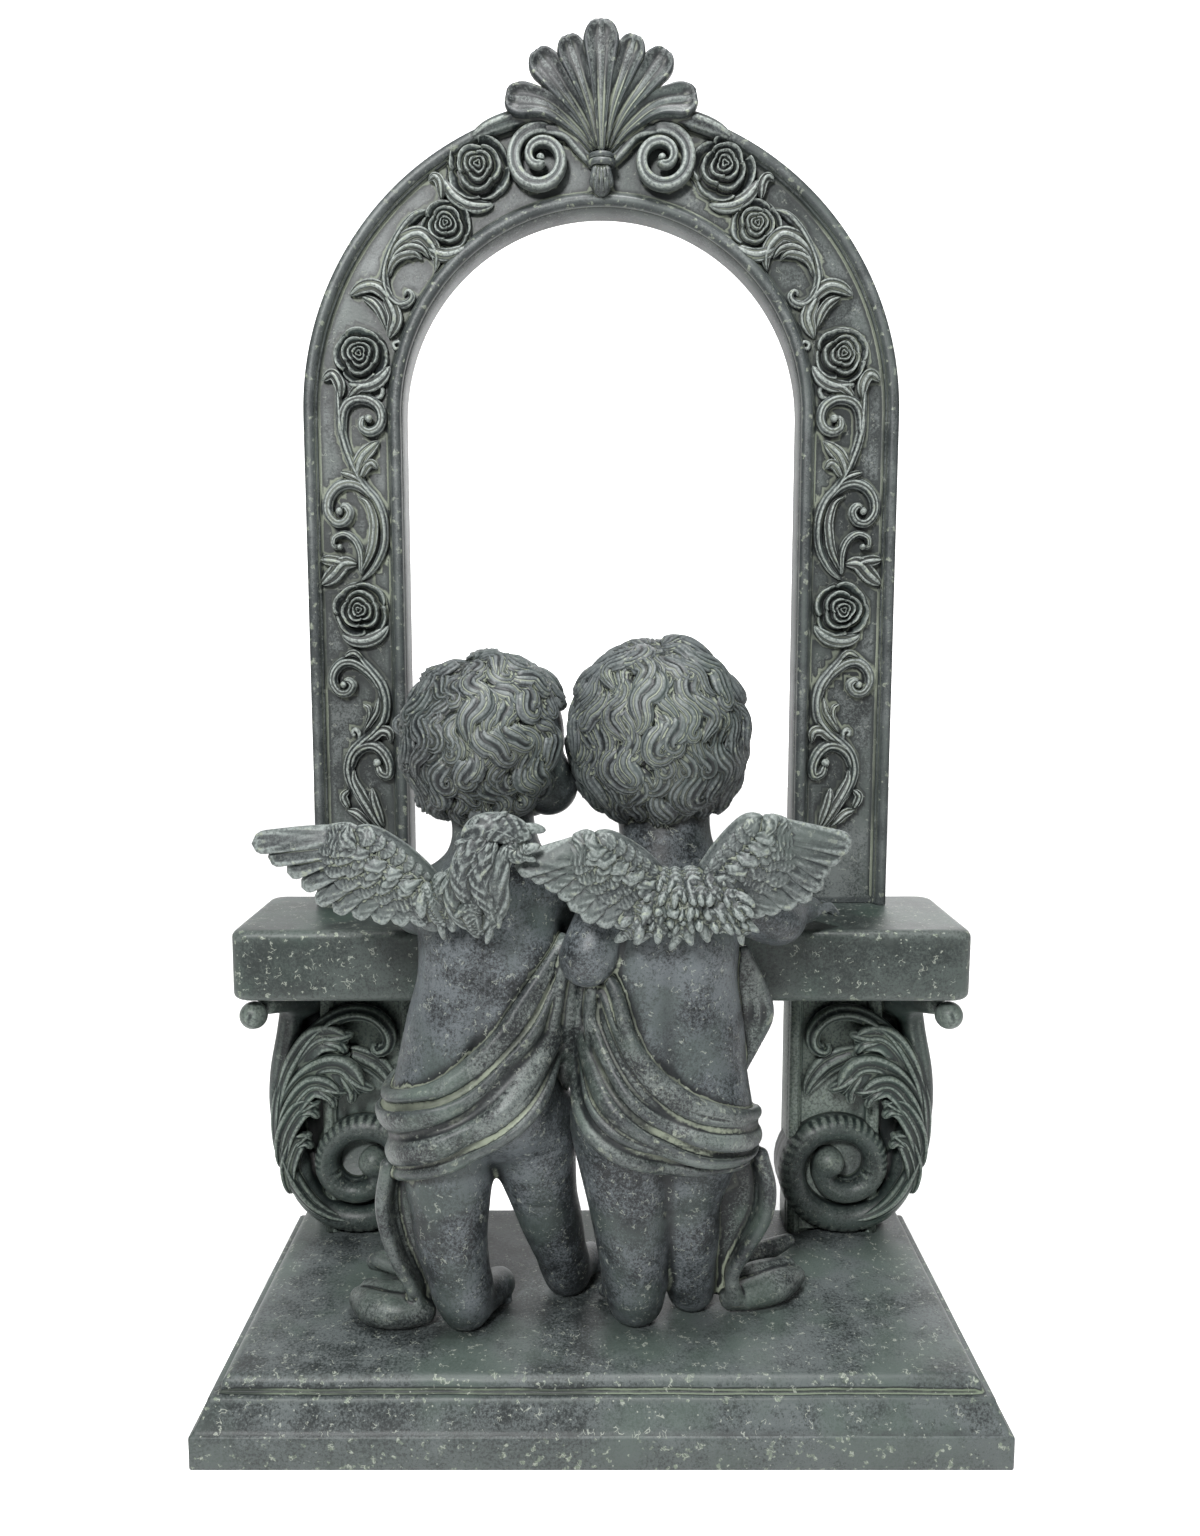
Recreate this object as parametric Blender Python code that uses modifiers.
"""Cherub garden statue: two winged cherubs leaning on a bench before a carved arched frame."""

import math

import bmesh
import bpy
import numpy as np
from mathutils import Matrix, Vector
from mathutils.bvhtree import BVHTree

GAP = 0.0003

# Plinth
PLINTH_HALF_X = 0.2525
PLINTH_HALF_Y = 0.12475
PLINTH_LIP_TOP = 0.0217
PLINTH_SLOPE_TOP = 0.0407
PLINTH_SLOPE_INSET = 0.0104
PLINTH_STEP_INSET = 0.0160
PLINTH_TOP_INSET = 0.0227
PLINTH_TOP = 0.0505

# Bench
BACK_Y = 0.102
BENCH_HALF_X = 0.253
BENCH_FRONT_Y = -0.009
BENCH_BOTTOM = 0.2574
BENCH_TOP = 0.3075
BENCH_EDGE = 0.006

# Arched frame
FRAME_INNER = 0.1418
FRAME_WIDTH = 0.0701
FRAME_OUTER = FRAME_INNER + FRAME_WIDTH
FRAME_FRONT_Y = 0.0672
FRAME_RIM = 0.0102
FRAME_RECESS = 0.0073
PANEL_Y = FRAME_FRONT_Y + FRAME_RECESS
PANEL_MID = FRAME_INNER + FRAME_WIDTH / 2
ARCH_Z = 0.6609
ARCH_STEPS = 20
LEG_TOP = ARCH_Z - BENCH_TOP

# The panel's carving is drawn for a frame 0.0701 wide and follows the frame's own width
CARVING = FRAME_WIDTH / 0.0701

# Crest
CREST_BASE = Vector((0.0, 0.0700, 0.8325))
CREST_TOP = 0.9200

# Figures, drawn in hundredths of their reach, 45.2 of them high above the plinth top
FIGURE_HEIGHT = 0.452
CM = FIGURE_HEIGHT / 45.2

# Brackets, drawn 25.3 wide and 20.69 high and fitted between the plinth and the bench
BRACKET_X = BENCH_HALF_X / 25.3
BRACKET_Z = (BENCH_BOTTOM - PLINTH_TOP) / 20.69

HEAD_YAW_LEFT = -34.0
HEAD_YAW_RIGHT = 8.0
VOXEL = 0.0022
FIGURE_FACES = 1800
FOLDS = 4
CURLS = 58


def clear_scene():
    """Take every object out of the open file."""
    for obj in list(bpy.data.objects):
        bpy.data.objects.remove(obj, do_unlink=True)


def make_collection(name, guides=False):
    """Make a collection, hidden from renders when it holds guides."""
    coll = bpy.data.collections.new(name)
    bpy.context.scene.collection.children.link(coll)
    coll.hide_render = guides
    return coll


def make_material(name, colour, roughness):
    """A plain Principled material."""
    mat = bpy.data.materials.new(name)
    mat.use_nodes = True
    shader = mat.node_tree.nodes["Principled BSDF"]
    shader.inputs["Base Color"].default_value = (*colour, 1.0)
    shader.inputs["Roughness"].default_value = roughness
    return mat


def at(x, y, z):
    """A point given in centimetres above the plinth top."""
    return Vector((x * CM, y * CM, z * CM + PLINTH_TOP))


def on_bracket(x, y, z):
    """A bracket's point, its height shared out between the plinth and the bench."""
    return Vector((x * BRACKET_X, y * BACK_Y / 10.2, z * BRACKET_Z + PLINTH_TOP))


def bezier(a, b, c, steps):
    """Points along a quadratic curve from a to c, drawn towards b."""
    out = []
    for i in range(steps + 1):
        t = i / steps
        out.append(a * (1 - t) ** 2 + b * 2 * t * (1 - t) + c * t * t)
    return out


def smooth_path(knots, steps):
    """Catmull-Rom points through the knots."""
    pts = [knots[0]] + list(knots) + [knots[-1]]
    out = []
    for i in range(1, len(pts) - 2):
        p0, p1, p2, p3 = pts[i - 1], pts[i], pts[i + 1], pts[i + 2]
        for k in range(steps):
            t = k / steps
            a = p1 * 2 + (p2 - p0) * t
            b = (p0 * 2 - p1 * 5 + p2 * 4 - p3) * t ** 2
            c = (p1 * 3 - p0 - p2 * 3 + p3) * t ** 3
            out.append((a + b + c) * 0.5)
    out.append(knots[-1])
    return out


def spread(value, count):
    """A list of radii for a path: one number, or knots spread evenly along it."""
    if isinstance(value, (int, float)):
        return [value] * count
    xs = np.linspace(0, len(value) - 1, count)
    return list(np.interp(xs, range(len(value)), value))


class Form:
    """Gathers closed shapes in one mesh."""

    def __init__(self):
        self.bm = bmesh.new()

    def ball(self, centre, radii, turn=None, detail=2):
        """An ellipsoid with its own turn."""
        scale = Matrix.Diagonal((*radii, 1.0))
        frame = Matrix.Translation(centre) @ (turn.to_4x4() if turn else Matrix()) @ scale
        bmesh.ops.create_icosphere(self.bm, subdivisions=detail, radius=1.0, matrix=frame)

    def box(self, low, high):
        """A box between two corners."""
        low, high = Vector(low), Vector(high)
        scale = Matrix.Diagonal((*(high - low), 1.0))
        frame = Matrix.Translation((low + high) / 2) @ scale
        bmesh.ops.create_cube(self.bm, size=1.0, matrix=frame)

    def loft(self, rings, closed=False):
        """Skin a row of rings that all have the same number of points."""
        rows = [[self.bm.verts.new(p) for p in ring] for ring in rings]
        count = len(rows[0])
        pairs = list(zip(rows, rows[1:]))
        if closed:
            pairs.append((rows[-1], rows[0]))
        for a, b in pairs:
            for i in range(count):
                j = (i + 1) % count
                self.bm.faces.new((a[i], a[j], b[j], b[i]))
        if not closed:
            self.bm.faces.new(rows[0][::-1])
            self.bm.faces.new(rows[-1])

    def tube(self, points, radii, sides=6, flat=1.0, across=None, blunt=0.7):
        """A tapered rod along a path, flattened along the given direction where asked."""
        radii = spread(radii, len(points))
        rings = []
        side = None
        for i, point in enumerate(points):
            ahead = points[min(i + 1, len(points) - 1)] - points[max(i - 1, 0)]
            ahead.normalize()
            if across is not None:
                thick = (across - ahead * across.dot(ahead)).normalized()
                side = ahead.cross(thick)
            else:
                if side is None:
                    side = ahead.orthogonal()
                side = (side - ahead * side.dot(ahead)).normalized()
                thick = side.cross(ahead)
            rings.append((point, ahead, side.copy(), thick.copy(), radii[i]))
        first, last = rings[0], rings[-1]
        head = (first[0] - first[1] * first[4] * blunt * 0.7, *first[1:4], first[4] * 0.66)
        tail = (last[0] + last[1] * last[4] * blunt * 0.7, *last[1:4], last[4] * 0.66)
        skin = []
        for point, _, wide, thin, r in [head] + rings + [tail]:
            ring = []
            for k in range(sides):
                a = 2 * math.pi * (k + 0.5) / sides
                ring.append(point + wide * (r * math.cos(a)) + thin * (r * flat * math.sin(a)))
            skin.append(ring)
        self.loft(skin)

    def mesh(self, name):
        """Turn the gathered shapes into a mesh with outward faces."""
        bmesh.ops.recalc_face_normals(self.bm, faces=self.bm.faces)
        data = bpy.data.meshes.new(name)
        self.bm.to_mesh(data)
        self.bm.free()
        return data

    def add_to(self, name, coll):
        """Put the gathered shapes in a collection as one object."""
        obj = bpy.data.objects.new(name, self.mesh(name))
        coll.objects.link(obj)
        return obj


def bake(obj):
    """Replace an object's mesh by its modified shape."""
    bpy.context.view_layer.update()
    deps = bpy.context.evaluated_depsgraph_get()
    data = bpy.data.meshes.new_from_object(obj.evaluated_get(deps))
    obj.modifiers.clear()
    obj.data = data
    return obj


def combine(obj, other, operation, solver="EXACT"):
    """Apply one Boolean and take the other object away.

    The frame's many small unions use the manifold solver, because the exact one drops the frame
    at some other widths.
    """
    mod = obj.modifiers.new("combine", "BOOLEAN")
    mod.operation = operation
    mod.solver = solver
    mod.object = other
    bake(obj)
    bpy.data.objects.remove(other, do_unlink=True)
    return obj


def clean(obj, distance=0.00002):
    """Merge stray points and drop slivers."""
    bm = bmesh.new()
    bm.from_mesh(obj.data)
    bmesh.ops.remove_doubles(bm, verts=bm.verts, dist=distance)
    bmesh.ops.dissolve_degenerate(bm, edges=bm.edges, dist=distance)
    bmesh.ops.triangulate(bm, faces=bm.faces)
    bm.to_mesh(obj.data)
    bm.free()


def flatten(obj, degrees=2.5):
    """Merge faces that lie in one plane."""
    bm = bmesh.new()
    bm.from_mesh(obj.data)
    bmesh.ops.dissolve_limit(bm, angle_limit=math.radians(degrees), verts=bm.verts, edges=bm.edges)
    bm.to_mesh(obj.data)
    bm.free()


def fuse_soft(obj, faces, voxel=VOXEL, smooth=2):
    """Fuse overlapping forms into one skin and thin its faces."""
    mod = obj.modifiers.new("skin", "REMESH")
    mod.mode = "VOXEL"
    mod.voxel_size = voxel
    mod.adaptivity = 0.0
    bake(obj)
    mod = obj.modifiers.new("soften", "SMOOTH")
    mod.factor = 0.5
    mod.iterations = smooth
    bake(obj)
    keep_largest(obj)
    mod = obj.modifiers.new("thin", "DECIMATE")
    mod.ratio = min(1.0, faces / (2 * len(obj.data.polygons)))
    bake(obj)
    clean(obj)


def keep_largest(obj):
    """Drop every loose bit except the largest shell."""
    bm = bmesh.new()
    bm.from_mesh(obj.data)
    bm.verts.ensure_lookup_table()
    seen = set()
    shells = []
    for start in bm.verts:
        if start.index in seen:
            continue
        seen.add(start.index)
        stack = [start]
        shell = []
        while stack:
            vert = stack.pop()
            shell.append(vert)
            for edge in vert.link_edges:
                other = edge.other_vert(vert)
                if other.index not in seen:
                    seen.add(other.index)
                    stack.append(other)
        shells.append(shell)
    shells.sort(key=len)
    for shell in shells[:-1]:
        bmesh.ops.delete(bm, geom=shell, context="VERTS")
    bm.to_mesh(obj.data)
    bm.free()


def block_ring(half_x, y0, y1, inset, z, corner, steps=3):
    """A rectangle with rounded corners, drawn in by an inset."""
    x1 = half_x - inset
    lo, hi = y0 + inset, y1 - inset
    ring = []
    centres = ((x1, hi, 0), (-x1, hi, 90), (-x1, lo, 180), (x1, lo, 270))
    for x, y, turn in centres:
        cx = x - math.copysign(corner, x)
        cy = y - corner if y == hi else y + corner
        for k in range(steps + 1):
            a = math.radians(turn + 90 * k / steps)
            ring.append(Vector((cx + corner * math.cos(a), cy + corner * math.sin(a), z)))
    return ring


def build_plinth(coll):
    """The moulded base slab."""
    levels = (
        (0.0012, 0.0),
        (0.0, 0.0012),
        (0.0, PLINTH_LIP_TOP - 0.0012),
        (0.0010, PLINTH_LIP_TOP),
        (PLINTH_SLOPE_INSET - 0.0010, PLINTH_SLOPE_TOP - 0.0008),
        (PLINTH_SLOPE_INSET, PLINTH_SLOPE_TOP),
        (PLINTH_STEP_INSET, PLINTH_SLOPE_TOP + 0.0003),
        (PLINTH_STEP_INSET + 0.0002, PLINTH_TOP - 0.0062),
        (PLINTH_STEP_INSET + 0.0014, PLINTH_TOP - 0.0030),
        (PLINTH_STEP_INSET + 0.0036, PLINTH_TOP - 0.0009),
        (PLINTH_TOP_INSET, PLINTH_TOP),
    )
    form = Form()
    rings = []
    for inset, z in levels:
        rings.append(block_ring(PLINTH_HALF_X, -PLINTH_HALF_Y, PLINTH_HALF_Y, inset, z, 0.0012, 1))
    form.loft(rings)
    return form.add_to("plinth", coll)


def build_bench(coll):
    """The plain bench slab."""
    form = Form()
    rings = []
    for k in range(4):
        a = math.radians(30 * k)
        inset = BENCH_EDGE * (1 - math.sin(a))
        rings.append((inset, BENCH_BOTTOM + BENCH_EDGE * (1 - math.cos(a))))
    top = [(inset, BENCH_BOTTOM + BENCH_TOP - z) for inset, z in rings[::-1]]
    rings = [block_ring(BENCH_HALF_X, BENCH_FRONT_Y, BACK_Y, i, z, 0.010) for i, z in rings + top]
    form.loft(rings)
    return form.add_to("bench", coll)


def frame_section(low, high):
    """Half-width and depth points of the frame's moulding between two half-widths."""
    rim = FRAME_RIM
    lip = 0.0016
    inner = (
        (low, BACK_Y - lip),
        (low, FRAME_FRONT_Y + 0.0024),
        (low + rim * 0.30, FRAME_FRONT_Y),
        (low + rim * 0.72, FRAME_FRONT_Y + 0.0003),
        (low + rim, FRAME_FRONT_Y + 0.0030),
        (low + rim, PANEL_Y),
    )
    outer = [(low + high - u, y) for u, y in inner[::-1]]
    return list(inner) + outer + [(high - lip, BACK_Y), (low + lip, BACK_Y)]


def on_arch(side, s, w, depth):
    """A point on the frame's panel, s along it from the bench and w out from its middle."""
    y = PANEL_Y - depth
    if s < LEG_TOP:
        return Vector((side * (PANEL_MID + w * CARVING), y, BENCH_TOP + s))
    a = (s - LEG_TOP) / PANEL_MID
    r = PANEL_MID + w * CARVING
    return Vector((side * r * math.cos(a), y, ARCH_Z + r * math.sin(a)))


def spiral(side, s, w, radius, turn, start, turns, depth, steps=11):
    """A volute on the panel that winds inwards."""
    points = []
    for i in range(steps + 1):
        t = i / steps
        a = math.radians(start) + turn * 2 * math.pi * turns * t
        r = radius * (1 - 0.78 * t)
        points.append(on_arch(side, s + r * math.sin(a), w + r * math.cos(a), depth * (1 + 0.4 * t)))
    return points


# Roses: place along the panel, place across it, radius
ROSES = (
    (0.5480, 0.0105, 0.0235),
    (0.5080, -0.0085, 0.0185),
    (0.3960, -0.0020, 0.0200),
    (0.2170, -0.0030, 0.0208),
)

ROSE_SIDES = 8

# Volutes: place along, place across, radius, winding, start angle, turns
VOLUTES = (
    (0.3400, -0.0060, 0.0125, -1, 200, 1.2),
    (0.2880, 0.0060, 0.0140, 1, -20, 1.2),
    (0.1700, 0.0040, 0.0120, 1, -30, 1.2),
    (0.1100, -0.0080, 0.0120, -1, 210, 1.2),
    (0.4480, -0.0050, 0.0140, -1, 160, 1.1),
)

# Stems between the roses: (along, across) knots
STEMS = (
    ((0.376, 0.010), (0.352, 0.012), (0.322, -0.006), (0.296, -0.013), (0.262, -0.004), (0.240, 0.006)),
    ((0.193, 0.004), (0.184, -0.010), (0.150, -0.012), (0.128, 0.002), (0.096, 0.006), (0.060, -0.004),
            (0.020, 0.004)),
    ((0.420, -0.004), (0.436, 0.012), (0.462, 0.010), (0.486, -0.002)),
)


def add_rose(solid, side, place, coll):
    """Join a low domed rose with a raised bud to the frame."""
    s, w, radius = place
    centre = on_arch(side, s, w, 0.0015)
    form = Form()
    rings = []
    for share, depth in ((1.0, -0.003), (1.0, 0.0040), (0.78, 0.0085), (0.52, 0.0066), (0.24, 0.0100)):
        ring = []
        for k in range(ROSE_SIDES):
            a = 2 * math.pi * k / ROSE_SIDES
            r = radius * share * CARVING
            ring.append(centre + Vector((r * math.cos(a), -depth, r * math.sin(a))))
        rings.append(ring)
    form.loft(rings)
    combine(solid, form.add_to("rose", coll), "UNION", "MANIFOLD")


def build_frame(coll, guides):
    """The arched frame with its roses, scrolls and palmette."""
    section = frame_section(FRAME_INNER, FRAME_OUTER)
    rings = [[Vector((u, y, BENCH_TOP + GAP)) for u, y in section]]
    for i in range(ARCH_STEPS + 1):
        a = math.pi * i / ARCH_STEPS
        rings.append([Vector((u * math.cos(a), y, ARCH_Z + u * math.sin(a))) for u, y in section])
    rings.append([Vector((-u, y, BENCH_TOP + GAP)) for u, y in section])
    form = Form()
    form.loft(rings)
    solid = form.add_to("arch_frame", coll)
    for side in (-1, 1):
        vine = Form()
        for knots in STEMS:
            path = smooth_path([on_arch(side, s, w, 0.0020) for s, w in knots], 3)
            vine.tube(path, [r * CARVING for r in (0.0028, 0.0046, 0.0038, 0.0030)])
        for s, w, radius, turn, start, turns in VOLUTES:
            vine.tube(spiral(side, s, w, radius, turn, start, turns, 0.0022), [0.0036, 0.0032, 0.0030])
            vine.ball(on_arch(side, s, w, 0.0028), (0.0042, 0.0040, 0.0042), detail=1)
        combine(solid, fused(vine, guides, 430, shells=True), "UNION", "MANIFOLD")
        for place in ROSES:
            add_rose(solid, side, place, guides)
        band = Form()
        centre = Vector((side * 0.0425, FRAME_FRONT_Y + 0.0040, 0.8325))
        path = []
        for i in range(17):
            t = i / 16
            a = math.radians(62) - 2 * math.pi * 1.55 * t
            r = 0.0225 * (1 - 0.80 * t)
            path.append(centre + Vector((side * r * math.cos(a), -0.004 * t, r * math.sin(a))))
        band.tube(path, [0.0052, 0.0046, 0.0040, 0.0038], sides=6)
        combine(solid, fused(band, guides, 150), "UNION", "MANIFOLD")
    combine(solid, build_crest(guides), "UNION", "MANIFOLD")
    keep_largest(solid)
    flatten(solid)
    clean(solid)
    return solid


def fused(form, coll, faces, shells=False):
    """A fused copy of overlapping shapes for a Boolean, in several shells where asked."""
    obj = form.add_to("small", coll)
    mod = obj.modifiers.new("skin", "REMESH")
    mod.mode = "VOXEL"
    mod.voxel_size = 0.0011
    bake(obj)
    if not shells:
        keep_largest(obj)
    mod = obj.modifiers.new("thin", "DECIMATE")
    mod.ratio = min(1.0, faces / (2 * len(obj.data.polygons)))
    bake(obj)
    clean(obj)
    return obj


# Palmette lobes: lean from upright in degrees, length, width, droop at the tip
LOBES = (
    (0.0, 0.0870, 0.0120, 0.0),
    (17.0, 0.0800, 0.0110, 0.0020),
    (33.0, 0.0790, 0.0120, 0.0040),
    (58.0, 0.0780, 0.0135, 0.0070),
)


def build_crest(coll):
    """The palmette of seven lobes with its tie and tassel."""
    form = Form()
    base = CREST_BASE
    for lean, length, width, droop in LOBES:
        for side in ((1,) if lean == 0 else (-1, 1)):
            a = math.radians(lean)
            out = Vector((side * math.sin(a), 0, math.cos(a)))
            mid = base + out * (length * 0.62) + Vector((0, -0.006, 0.0))
            tip = base + out * length + Vector((side * droop * 0.3, -0.001, -droop))
            path = bezier(base + Vector((0, 0.008, 0)), mid, tip - out * width * 0.6, 6)
            form.tube(path, [width * 0.35, width * 0.62, width * 0.92, width, width * 0.85],
                      sides=8, flat=0.62, across=Vector((0, 1, 0)))
    form.ball(base + Vector((0, -0.001, -0.002)), (0.0092, 0.0080, 0.0042))
    form.ball(base + Vector((0, -0.001, -0.014)), (0.0072, 0.0076, 0.0110))
    obj = form.add_to("crest", coll)
    fuse_soft(obj, 460, voxel=0.0016, smooth=2)
    top = max(v.co.z for v in obj.data.vertices)
    for vert in obj.data.vertices:
        if vert.co.z > base.z:
            vert.co.z = base.z + (vert.co.z - base.z) * (CREST_TOP - base.z) / (top - base.z)
    return obj


def build_bracket(side, coll, guides):
    """A stile with a scroll bracket in front of it, carrying one end of the bench."""
    low, high = PLINTH_TOP + GAP, BENCH_BOTTOM - GAP
    section = frame_section(FRAME_INNER, FRAME_OUTER)
    form = Form()
    form.loft([[Vector((side * u, y, z)) for u, y in section] for z in (low, high)])
    stile = form.add_to("bracket_" + ("left" if side < 0 else "right"), coll)
    scroll = Form()
    depth = Vector((0, 1, 0))
    knots = ((22.9, 21.4), (23.2, 18.6), (23.5, 16.0), (24.15, 12.6), (24.1, 9.4), (23.2, 5.6))
    centre = on_bracket(18.3 * side, 8.2, 5.35)
    path = [on_bracket(x * side, 8.2, z) for x, z in knots]
    for i in range(1, 22):
        t = i / 21
        a = math.radians(-8) - 2 * math.pi * 1.30 * t
        r = (4.75 - 2.75 * t ** 1.25) * BRACKET_X
        path.append(centre + Vector((side * r * math.cos(a), -0.004 * t, r * 0.96 * math.sin(a))))
    smooth = smooth_path(path[:7], 3) + path[7:]
    scroll.tube(smooth, [0.0095, 0.0095, 0.0100, 0.0100, 0.0098, 0.0088, 0.0075], sides=8,
                flat=2.05, across=depth, blunt=0.3)
    scroll.ball(on_bracket(18.3 * side, 6.6, 5.35), (0.0140, 0.0105, 0.0140))
    scroll.box(on_bracket(20.9 * side, 8.0, 6.5) if side > 0 else on_bracket(-23.4, 8.0, 6.5),
               on_bracket(23.4, 10.1, 21.3) if side > 0 else on_bracket(-20.9, 10.1, 21.3))
    stem = [on_bracket(22.4 * side, 7.0, 4.0), on_bracket(22.6 * side, 6.7, 9.0),
            on_bracket(21.8 * side, 6.5, 12.6), on_bracket(19.3 * side, 6.2, 15.3)]
    scroll.tube(smooth_path(stem, 4), [0.0055, 0.0085, 0.0085, 0.0040], sides=6)
    for x, z, root in ((18.0, 12.0, 12.4), (19.5, 11.2, 10.6), (21.0, 10.0, 8.8), (21.3, 7.6, 6.4)):
        lobe = bezier(on_bracket(22.5 * side, 7.0, root), on_bracket((x + 1.4) * side, 5.9, z + 1.6),
                on_bracket(x * side, 6.4, z), 4)
        scroll.tube(lobe, [0.0065, 0.0060, 0.0032], sides=6)
    upper = smooth_path([on_bracket(x * side, 7.2, z) for x, z in
                         ((23.2, 13.6), (22.3, 16.2), (20.4, 17.4), (18.0, 17.9), (16.3, 16.8),
                                 (15.9, 15.2), (17.2, 14.5))], 3)
    scroll.tube(upper, [0.0065, 0.0060, 0.0055, 0.0045], sides=6, flat=1.3, across=depth)
    scroll.tube([on_bracket(22.6 * side, 7.0, 19.6), on_bracket(23.4 * side, 3.5, 20.0),
            on_bracket(24.2 * side, 0.8, 19.6)], 0.0062, sides=6)
    scroll.ball(on_bracket(24.2 * side, 0.5, 19.4), (0.0098, 0.0098, 0.0098))
    obj = scroll.add_to("scroll", guides)
    fuse_soft(obj, 450, voxel=0.0018, smooth=2)
    combine(stile, obj, "UNION")
    trim_flat(stile, low, high, guides)
    keep_largest(stile)
    clean(stile)
    return stile


def trim_flat(obj, low, high, guides):
    """Cut an object level at the bottom, the top and the common back plane."""
    keep = Form()
    keep.box((-PLINTH_HALF_X, -PLINTH_HALF_Y, low), (PLINTH_HALF_X, BACK_Y, high))
    combine(obj, keep.add_to("keep", guides), "INTERSECT")


class Cherub:
    """One winged child seen from behind."""

    def __init__(self, name, joints, head_yaw, head_lean, head_radii):
        self.name = name
        self.joints = joints
        self.head_yaw = head_yaw
        self.head_lean = head_lean
        self.head_radii = head_radii
        self.form = Form()

    def joint(self, key):
        """The place of a named joint."""
        return at(*self.joints[key][:3])

    def radius(self, key):
        """The radius of the body at a named joint."""
        return self.joints[key][3] * CM

    def limb(self, keys, sides=10):
        """A rounded limb through named joints."""
        points = [self.joint(k) for k in keys]
        radii = [self.radius(k) for k in keys]
        path = smooth_path(points, 4)
        self.form.tube(path, list(np.interp(np.linspace(0, len(keys) - 1, len(path)), range(len(keys)),
                radii)),
                       sides=sides, blunt=1.0)

    def body(self):
        """Trunk, neck, legs, feet and arms."""
        for key, shape in (("pelvis", (1.0, 0.82, 0.95)), ("belly", (1.0, 0.78, 1.0)),
                ("chest", (1.0, 0.80, 1.0))):
            r = self.radius(key)
            self.form.ball(self.joint(key), (r * shape[0], r * shape[1], r * shape[2]), detail=3)
        for key in ("seat_l", "seat_r"):
            r = self.radius(key)
            self.form.ball(self.joint(key), (r, r, r * 1.05), detail=3)
        self.limb(("shoulder_l", "shoulder_m", "shoulder_r"))
        self.limb(("shoulder_m", "neck", "skull"))
        for s in ("l", "r"):
            self.limb((f"hip_{s}", f"knee_{s}", f"calf_{s}", f"ankle_{s}"))
            self.limb((f"heel_{s}", f"toe_{s}"))
            self.limb((f"shoulder_{s}", f"elbow_{s}", f"wrist_{s}", f"hand_{s}"))

    def head_turn(self):
        """The turn of the head about its own middle."""
        return Matrix.Rotation(math.radians(self.head_yaw), 3, "Z") @ Matrix.Rotation(
            math.radians(self.head_lean), 3, "Y")

    def head(self):
        """Skull, a plain childish face turned to the bench, ears and a cap of curls."""
        turn = self.head_turn()
        centre = self.joint("head")
        rx, ry, rz = (r * CM for r in self.head_radii)

        def spot(a, b, c):
            return centre + turn @ Vector((a * rx, b * ry, c * rz))

        self.form.ball(centre, (rx * 0.90, ry * 0.92, rz * 0.92), turn, detail=3)
        for s in (-1, 1):
            self.form.ball(spot(0.40 * s, 0.55, -0.50), (rx * 0.38, ry * 0.38, rz * 0.36), turn)
            self.form.ball(spot(0.93 * s, 0.05, -0.22), (rx * 0.12, ry * 0.18, rz * 0.22), turn)
        self.form.ball(spot(0, 0.62, -0.80), (rx * 0.30, ry * 0.28, rz * 0.20), turn)
        self.form.ball(spot(0, 0.92, -0.30), (rx * 0.13, ry * 0.15, rz * 0.15), turn)
        self.form.ball(spot(0, 0.80, -0.58), (rx * 0.22, ry * 0.14, rz * 0.10), turn)
        for i in range(CURLS):
            c = 1 - 2 * (i + 0.5) / CURLS
            a = i * math.pi * (3 - math.sqrt(5))
            ring = math.sqrt(1 - c * c)
            x, y = ring * math.cos(a), ring * math.sin(a)
            if c < -0.93 or (y > 0.30 and c < 0.34 + 0.25 * abs(x)) or (y > 0.0 and c < -0.62):
                continue
            size = 0.20 + 0.035 * math.sin(i * 2.3)
            root = spot(x * 0.86, y * 0.86, c * 0.86)
            lock = Matrix.Rotation(i * 1.7, 3, "Z")
            self.form.ball(root, (rx * size * 1.25, ry * size, rz * size), turn @ lock, detail=2)

    def wing(self, root, wrist, tip, middle, low, feathers=7, thick=0.0042):
        """Layered feathers that fan from the bone between root and wrist."""
        root, wrist, tip, middle, low = (at(*p) for p in (root, wrist, tip, middle, low))
        plane = (tip - root).cross(low - root).normalized()
        if plane.y > 0:
            plane = -plane
        for layer, (reach, lift, count) in enumerate(((1.0, 0.0, feathers), (0.66, 0.0020, feathers),
                (0.40, 0.0036, 5))):
            for k in range(count):
                t = k / (count - 1)
                start = wrist.lerp(root, t ** 1.2)
                end = tip.lerp(middle, t * 2) if t < 0.5 else middle.lerp(low, t * 2 - 1)
                end = start.lerp(end, reach)
                bend = (wrist - root).normalized() * (0.004 * (1 - t))
                path = bezier(start + plane * lift, (start + end) / 2 + bend + plane * (lift + 0.002),
                        end + plane * lift, 5)
                width = (0.0082 + 0.003 * (layer == 2)) * (1.1 - 0.25 * t)
                self.form.tube(path, [width * 0.7, width, width * 1.05, width * 0.6], sides=8,
                               flat=thick / width, across=plane, blunt=0.9)
        self.form.tube(bezier(root, (root + wrist) / 2 + Vector((0, 0, 0.003)), wrist, 4),
                [0.0115, 0.0090, 0.0080], sides=8)
        self.form.ball((root + low) / 2, (0.0130, 0.0100, 0.0150))
        blade = Vector((root.x * 0.6 + self.joint("chest").x * 0.4, self.joint("chest").y, root.z - 0.012))
        self.form.tube([root, (root + low) / 2 * 0.4 + blade * 0.6, blade], [0.0100, 0.0150, 0.0160],
                sides=8)

    def surface(self):
        """A search tree of the body as it stands now."""
        return BVHTree.FromBMesh(self.form.bm)

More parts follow.
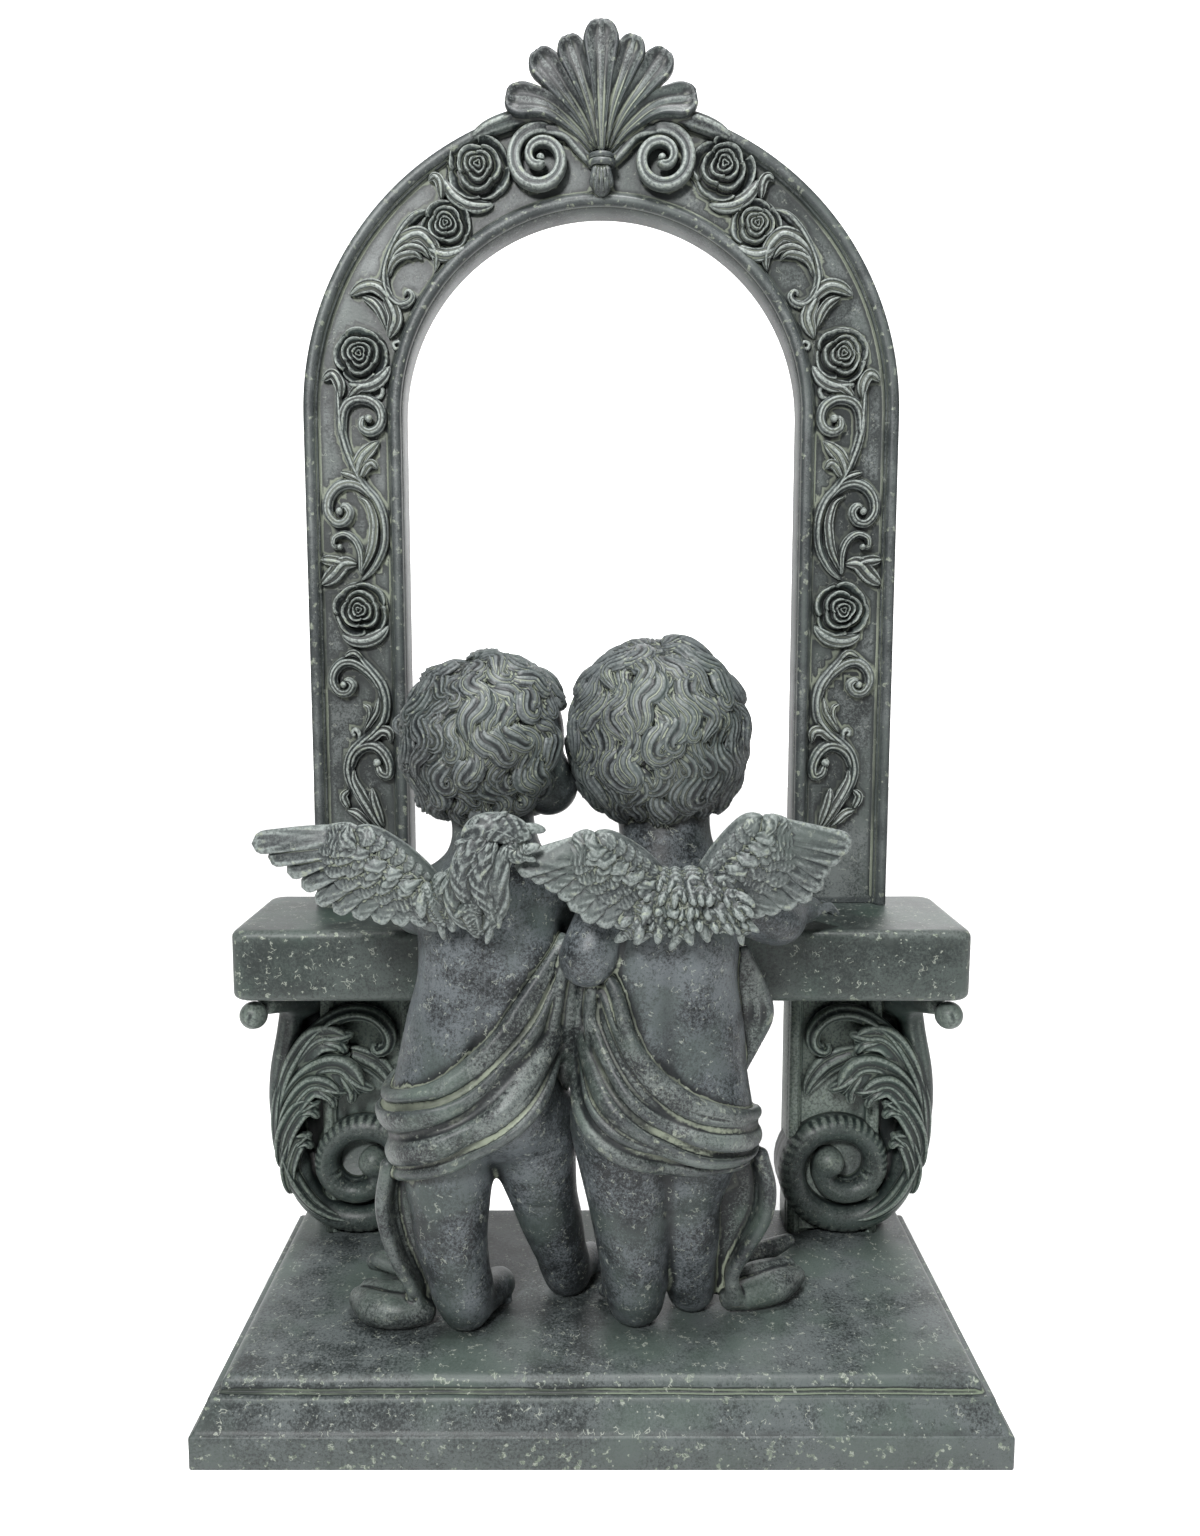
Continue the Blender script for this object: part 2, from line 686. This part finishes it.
    def fold(self, tree, start, sag, end, radius, lift=0.0, steps=9):
        """A roll of cloth laid on the back of the body."""
        points = []
        for p in bezier(at(*start), at(*sag), at(*end), steps):
            origin = Vector((p.x, -0.30, p.z))
            hit = tree.ray_cast(origin, Vector((0, 1, 0)))[0]
            y = p.y if hit is None else max(p.y - 0.012, min(hit.y, p.y + 0.012))
            points.append(Vector((p.x, y - lift, p.z)))
        for _ in range(3):
            for i in range(1, len(points) - 1):
                points[i].y = (points[i - 1].y + points[i].y + points[i + 1].y) / 3
        self.form.tube(points, radius, sides=8)

    def finish(self, coll):
        """Fuse everything into one solid."""
        obj = self.form.add_to(self.name, coll)
        fuse_soft(obj, FIGURE_FACES)
        return obj


# Joints: sideways, depth and height in centimetres above the plinth top, then the radius
LEFT_JOINTS = {
    "pelvis": (-8.3, -4.7, 16.4, 5.2),
    "belly": (-7.7, -4.6, 20.6, 4.9),
    "chest": (-7.2, -4.6, 26.0, 4.6),
    "seat_l": (-10.4, -6.3, 15.2, 3.1),
    "seat_r": (-5.8, -6.2, 15.5, 3.0),
    "shoulder_l": (-10.3, -4.5, 28.9, 1.9),
    "shoulder_m": (-7.1, -4.7, 29.6, 2.3),
    "shoulder_r": (-4.0, -4.4, 29.5, 1.9),
    "neck": (-6.8, -4.1, 31.6, 2.2),
    "skull": (-7.1, -3.4, 34.5, 2.4),
    "head": (-7.35, -3.1, 38.8, 5.4),
    "hip_l": (-10.2, -4.9, 14.0, 3.5),
    "knee_l": (-9.9, -5.7, 9.2, 2.65),
    "calf_l": (-9.8, -5.9, 6.4, 2.35),
    "ankle_l": (-9.2, -5.5, 2.8, 1.95),
    "heel_l": (-9.0, -5.2, 1.5, 1.6),
    "toe_l": (-7.1, -2.2, 1.1, 1.15),
    "hip_r": (-5.0, -4.2, 14.2, 3.3),
    "knee_r": (-4.0, -3.4, 8.8, 2.35),
    "calf_r": (-3.4, -2.6, 6.0, 2.10),
    "ankle_r": (-2.6, -1.5, 2.5, 1.65),
    "heel_r": (-2.4, -1.1, 1.4, 1.5),
    "toe_r": (-0.8, 1.6, 1.0, 1.0),
    "elbow_l": (-12.2, -1.6, 27.4, 1.7),
    "wrist_l": (-10.0, 2.0, 26.9, 1.2),
    "hand_l": (-8.2, 3.4, 26.7, 1.2),
    "elbow_r": (-2.6, -2.0, 27.4, 1.7),
    "wrist_r": (-1.6, 1.8, 26.9, 1.2),
    "hand_r": (-2.6, 3.4, 26.7, 1.2),
}

RIGHT_JOINTS = {
    "pelvis": (4.1, -4.7, 16.4, 5.4),
    "belly": (4.2, -4.6, 20.6, 5.0),
    "chest": (4.2, -4.6, 26.0, 4.7),
    "seat_l": (1.4, -6.2, 15.3, 3.0),
    "seat_r": (6.4, -6.3, 15.3, 3.1),
    "shoulder_l": (0.9, -5.0, 29.2, 1.9),
    "shoulder_m": (4.3, -4.8, 29.7, 2.3),
    "shoulder_r": (7.6, -4.6, 29.2, 1.9),
    "neck": (4.2, -4.1, 31.6, 2.2),
    "skull": (4.0, -3.4, 34.5, 2.4),
    "head": (3.65, -3.1, 39.2, 5.9),
    "hip_l": (1.3, -4.9, 14.0, 3.4),
    "knee_l": (1.7, -5.4, 9.2, 2.65),
    "calf_l": (2.0, -5.5, 6.4, 2.40),
    "ankle_l": (2.2, -5.0, 2.9, 2.05),
    "heel_l": (2.3, -4.6, 1.6, 1.75),
    "toe_l": (1.3, -2.0, 1.1, 1.15),
    "hip_r": (6.5, -4.5, 14.0, 3.4),
    "knee_r": (5.7, -4.3, 8.8, 2.35),
    "calf_r": (5.8, -4.2, 6.0, 2.10),
    "ankle_r": (6.0, -3.5, 2.7, 1.65),
    "heel_r": (6.1, -3.0, 1.4, 1.5),
    "toe_r": (6.7, 0.4, 1.0, 1.0),
    "elbow_l": (-0.9, -6.3, 25.4, 1.75),
    "wrist_l": (0.2, -2.6, 27.3, 1.25),
    "hand_l": (0.8, 0.6, 27.0, 1.2),
    "elbow_r": (11.4, -3.2, 27.0, 1.6),
    "wrist_r": (12.8, -1.4, 27.1, 1.15),
    "hand_r": (14.2, -0.2, 27.1, 0.95),
}


def build_left_cherub(coll):
    """The left cherub, its head turned to the other one."""
    child = Cherub("cherub_left", LEFT_JOINTS, HEAD_YAW_LEFT, 4.0, (5.1, 5.4, 5.6))
    child.body()
    tree = child.surface()
    for k in range(FOLDS):
        t = k / (FOLDS - 1)
        start = (-2.6 + 0.4 * t, -8.3, 25.0 - 5.4 * t)
        sag = (-4.6 - 0.3 * t, -9.9, 19.4 - 7.2 * t)
        end = (-12.7 - 0.9 * t, -5.2, 15.2 - 4.4 * t)
        child.fold(tree, start, sag, end, [0.0055, 0.0080, 0.0090, 0.0090], lift=0.0015)
    child.form.tube(smooth_path([at(-14.2, -5.0, 10.6), at(-14.3, -5.3, 7.6), at(-13.2, -5.4, 4.6),
            at(-12.2, -5.0, 1.6)], 4),
                    [0.0085, 0.0095, 0.0085, 0.0090], sides=8, flat=0.7, across=Vector((0, 1, 0)))
    child.form.tube(smooth_path([at(-12.4, -4.6, 1.3), at(-14.4, -5.0, 1.4), at(-16.4, -3.6, 1.3)], 4),
                    [0.0110, 0.0125, 0.0090], sides=8)
    child.form.tube(smooth_path([at(-12.8, -2.6, 1.6), at(-15.0, -1.6, 2.0), at(-16.2, -2.6, 2.3)], 4),
                    [0.0090, 0.0100, 0.0060], sides=8)
    child.head()
    child.wing((-9.9, -8.3, 30.3), (-13.9, -9.2, 33.9), (-20.8, -9.0, 33.3), (-16.4, -9.0, 29.5),
            (-10.4, -9.3, 28.7))
    child.wing((-8.7, -8.3, 30.3), (-6.6, -10.0, 34.0), (-4.4, -11.2, 33.7), (-5.9, -10.9, 30.6),
            (-7.3, -9.8, 28.7), feathers=5)
    return child.finish(coll)


def build_right_cherub(coll):
    """The right cherub, facing the frame."""
    child = Cherub("cherub_right", RIGHT_JOINTS, HEAD_YAW_RIGHT, -4.0, (5.6, 5.8, 6.1))
    child.body()
    tree = child.surface()
    for k in range(FOLDS):
        t = k / (FOLDS - 1)
        start = (-0.3 - 1.4 * t, -7.6, 23.8 - 4.8 * t)
        sag = (3.2 - 1.4 * t, -9.8, 16.6 - 5.2 * t)
        end = (8.7 + 1.1 * t, -5.0, 14.6 - 3.2 * t)
        child.fold(tree, start, sag, end, [0.0055, 0.0080, 0.0090, 0.0090], lift=0.0015)
    child.form.tube(smooth_path([at(10.4, -4.6, 11.2), at(10.7, -4.2, 8.0), at(9.6, -3.8, 5.0),
            at(8.9, -3.2, 1.8)], 4),
                    [0.0085, 0.0095, 0.0085, 0.0090], sides=8, flat=0.7, across=Vector((0, 1, 0)))
    child.form.tube(smooth_path([at(9.2, -2.9, 1.3), at(11.2, -2.6, 1.4), at(13.2, -0.6, 1.3)], 4),
                    [0.0110, 0.0125, 0.0080], sides=8)
    child.form.tube(smooth_path([at(9.6, -0.8, 1.6), at(11.8, 0.4, 2.0), at(13.4, 1.6, 2.2)], 4),
                    [0.0090, 0.0090, 0.0060], sides=8)
    child.form.tube(smooth_path([at(9.0, -4.2, 25.6), at(10.2, -3.2, 22.4), at(10.2, -3.0, 20.4),
            at(9.0, -4.0, 17.4)], 4),
                    [0.0050, 0.0080, 0.0075, 0.0040], sides=8, flat=0.7, across=Vector((0, 1, 0)))
    child.head()
    child.wing((4.1, -8.5, 30.4), (0.3, -9.8, 33.7), (-5.0, -11.0, 32.2), (-0.8, -10.7, 28.9),
            (3.5, -9.6, 28.9))
    child.wing((6.0, -8.5, 30.7), (8.9, -9.4, 34.6), (14.8, -9.6, 33.3), (12.5, -9.2, 30.2),
            (7.2, -9.2, 28.9))
    return child.finish(coll)


def free_of_neighbours(obj, guides):
    """Cut a figure clear of the plinth and the bench, leaving a hair's gap."""
    floor = Form()
    floor.box((-0.3, -0.3, 0.0), (0.3, 0.3, PLINTH_TOP + GAP))
    combine(obj, floor.add_to("floor", guides), "DIFFERENCE")
    slab = Form()
    slab.box((-0.3, BENCH_FRONT_Y - GAP, BENCH_BOTTOM - GAP), (0.3, 0.3, BENCH_TOP + GAP))
    combine(obj, slab.add_to("slab", guides), "DIFFERENCE")
    keep_largest(obj)
    clean(obj)


def part_figures(first, second, guides):
    """Cut the second figure clear of the first, leaving a hair's gap."""
    grown = first.copy()
    grown.data = first.data.copy()
    guides.objects.link(grown)
    mod = grown.modifiers.new("grow", "DISPLACE")
    mod.strength = 0.0009
    mod.mid_level = 0.0
    bake(grown)
    combine(second, grown, "DIFFERENCE")
    keep_largest(second)
    clean(second)


def main():
    """Build every piece of the statue."""
    clear_scene()
    coll = make_collection("cherub_garden_statue")
    guides = make_collection("guides", guides=True)
    stone = (0.17, 0.19, 0.185)
    pieces = [
        build_plinth(coll),
        build_bench(coll),
        build_bracket(-1, coll, guides),
        build_bracket(1, coll, guides),
        build_frame(coll, guides),
    ]
    right = build_right_cherub(coll)
    left = build_left_cherub(coll)
    free_of_neighbours(right, guides)
    free_of_neighbours(left, guides)
    part_figures(right, left, guides)
    for i, obj in enumerate(pieces + [left, right]):
        tint = 1 + 0.02 * i
        obj.data.materials.clear()
        obj.data.materials.append(make_material(obj.name + "_stone", [c * tint for c in stone], 0.7))


main()
